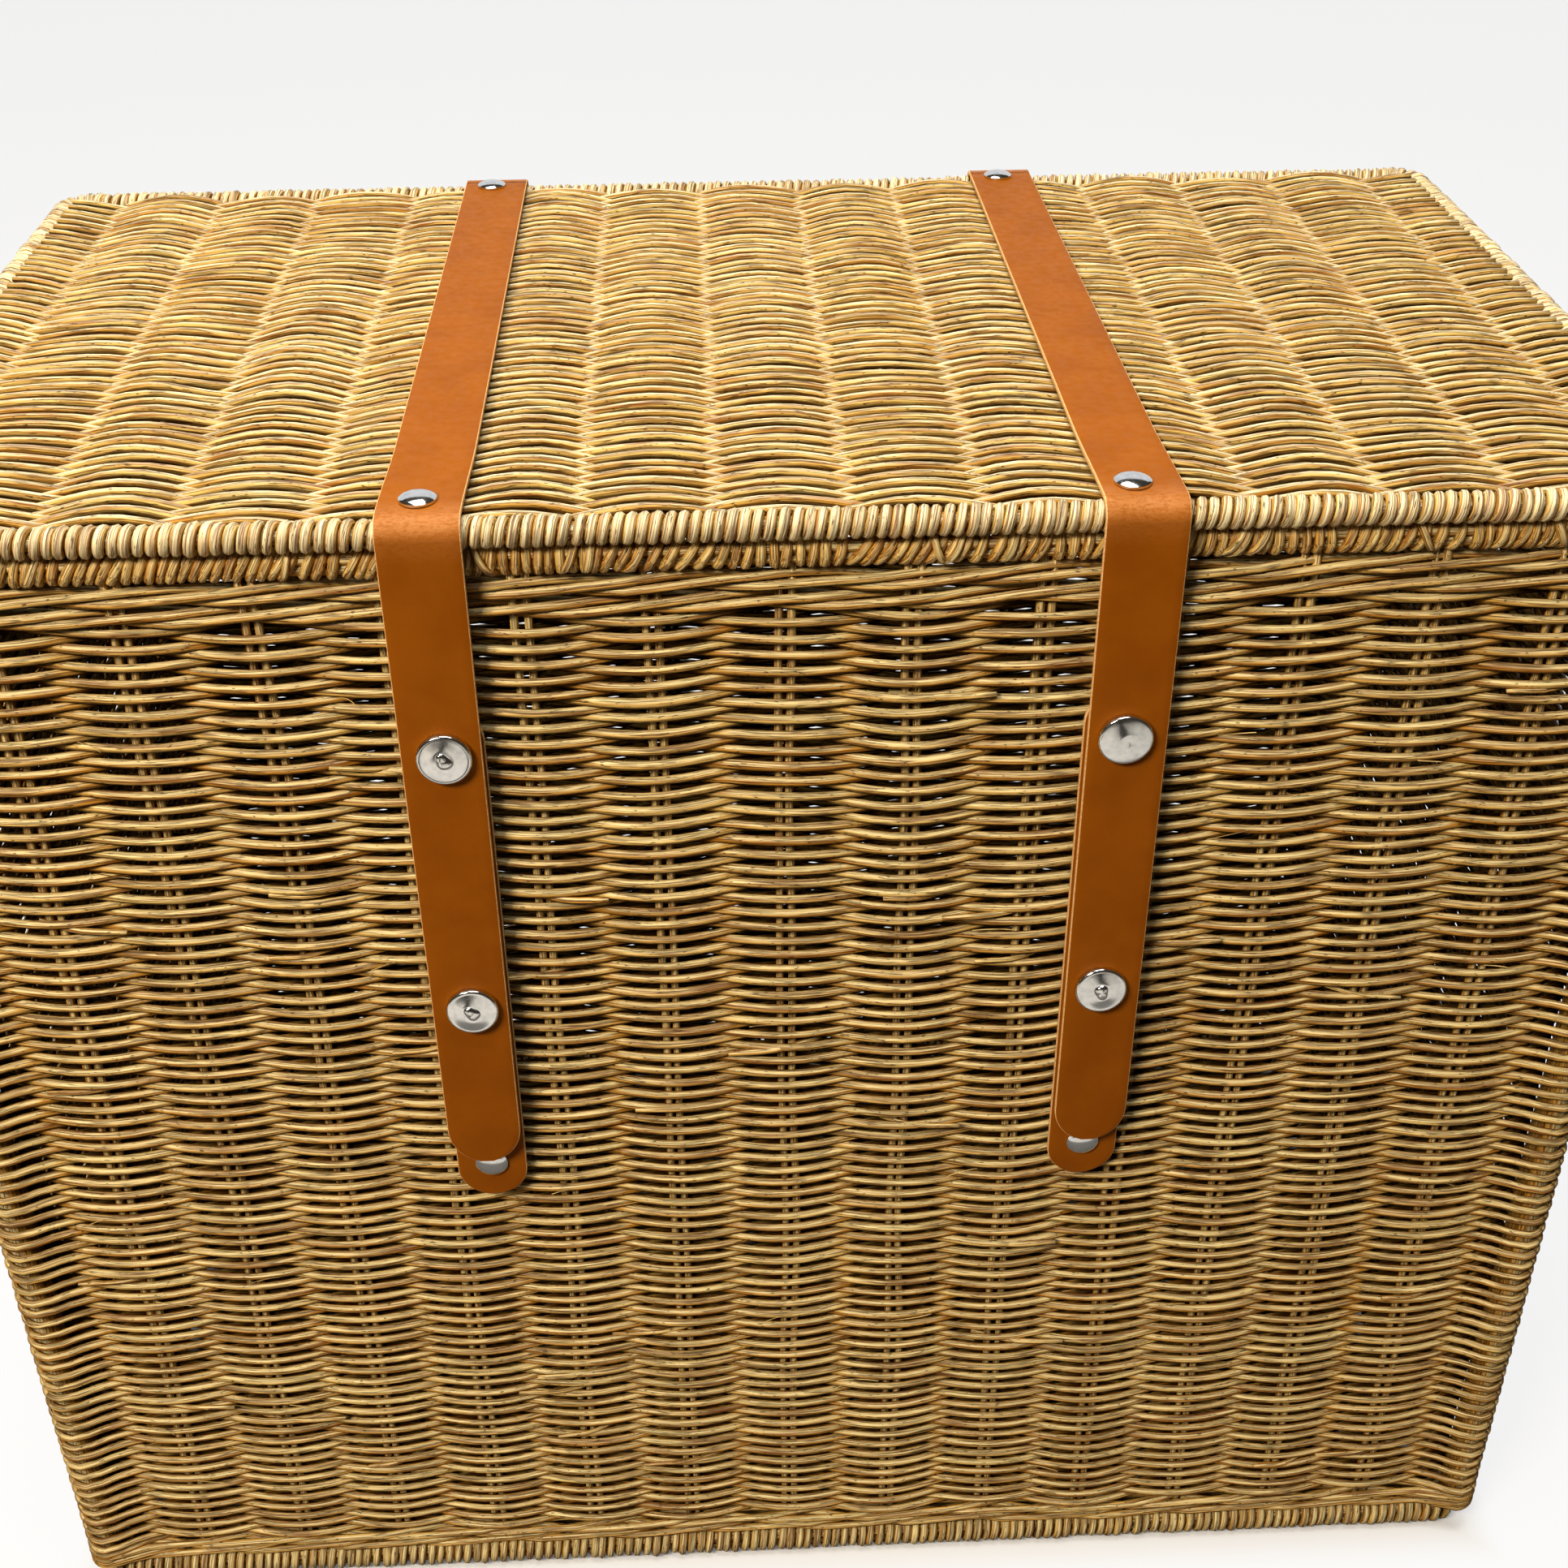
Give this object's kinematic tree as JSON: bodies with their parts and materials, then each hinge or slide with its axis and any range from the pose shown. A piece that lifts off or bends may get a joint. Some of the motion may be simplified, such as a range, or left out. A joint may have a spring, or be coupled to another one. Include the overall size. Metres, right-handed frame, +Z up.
{
  "type": "lidded rattan storage hamper",
  "caption": "Rectangular woven rattan hamper with a woven lid on leather hinge straps that fold over the front edge and close on the wall with press studs.",
  "frame": {"origin": "middle of the bounding box in plan, on the surface that the foot border stands on", "axes": "+Z up, the front with the straps faces -Y, +X to the right seen from the front"},
  "size_m": [0.7102, 0.4132, 0.5975],
  "materials": {
    "rattan": "natural honey rattan cane with dark specks and a low sheen",
    "leather": "smooth tan leather with pale cut edges",
    "nickel": "polished nickel plate"
  },
  "bodies": {
    "basket": {"foot_border": "rattan", "lower_wale": "rattan", "upper_wale": "rattan", "rim_border": "rattan", "base_panel": "rattan", "front_wall": "rattan", "back_wall": "rattan", "left_wall": "rattan", "right_wall": "rattan", "front_left_post": "rattan", "front_right_post": "rattan", "back_left_post": "rattan", "back_right_post": "rattan", "catch_strap_left": "leather", "catch_strap_right": "leather", "hinge_strap_left": "leather", "hinge_strap_right": "leather", "upper_stud_post_left": "nickel", "lower_stud_post_left": "nickel", "upper_stud_post_right": "nickel", "lower_stud_post_right": "nickel", "upper_catch_left_rivet": "nickel", "upper_catch_left_washer": "nickel", "lower_catch_left_rivet": "nickel", "lower_catch_left_washer": "nickel", "upper_catch_right_rivet": "nickel", "upper_catch_right_washer": "nickel", "lower_catch_right_rivet": "nickel", "lower_catch_right_washer": "nickel", "upper_hinge_left_rivet": "nickel", "upper_hinge_left_washer": "nickel", "lower_hinge_left_rivet": "nickel", "lower_hinge_left_washer": "nickel", "upper_hinge_right_rivet": "nickel", "upper_hinge_right_washer": "nickel", "lower_hinge_right_rivet": "nickel", "lower_hinge_right_washer": "nickel"},
    "lid": {"lid_border": "rattan", "lid_panel": "rattan", "lid_strap_left": "leather", "lid_strap_right": "leather", "strap_fold_left": "leather", "strap_fold_right": "leather", "front_lid_left_rivet": "nickel", "front_lid_left_washer": "nickel", "rear_lid_left_rivet": "nickel", "rear_lid_left_washer": "nickel", "front_lid_right_rivet": "nickel", "front_lid_right_washer": "nickel", "rear_lid_right_rivet": "nickel", "rear_lid_right_washer": "nickel"},
    "flap_left": {"strap_flap_left": "leather", "upper_stud_cap_left": "nickel", "lower_stud_cap_left": "nickel"},
    "flap_right": {"strap_flap_right": "leather", "upper_stud_cap_right": "nickel", "lower_stud_cap_right": "nickel"}
  },
  "joints": [
    {"name": "lid_hinge", "type": "hinge", "parent": "basket", "child": "lid", "pos_m": [0, 0.20655, 0.58015], "axis": [-1, 0, 0], "range_deg": [0, 110]},
    {"name": "flap_left_fold", "type": "hinge", "parent": "lid", "child": "flap_left", "pos_m": [-0.13, -0.1939, 0.58655], "axis": [-1, 0, 0], "range_deg": [0, 90], "deforming": ["strap_fold_left"]},
    {"name": "flap_right_fold", "type": "hinge", "parent": "lid", "child": "flap_right", "pos_m": [0.13, -0.1939, 0.58655], "axis": [-1, 0, 0], "range_deg": [0, 90], "deforming": ["strap_fold_right"]}
  ]
}
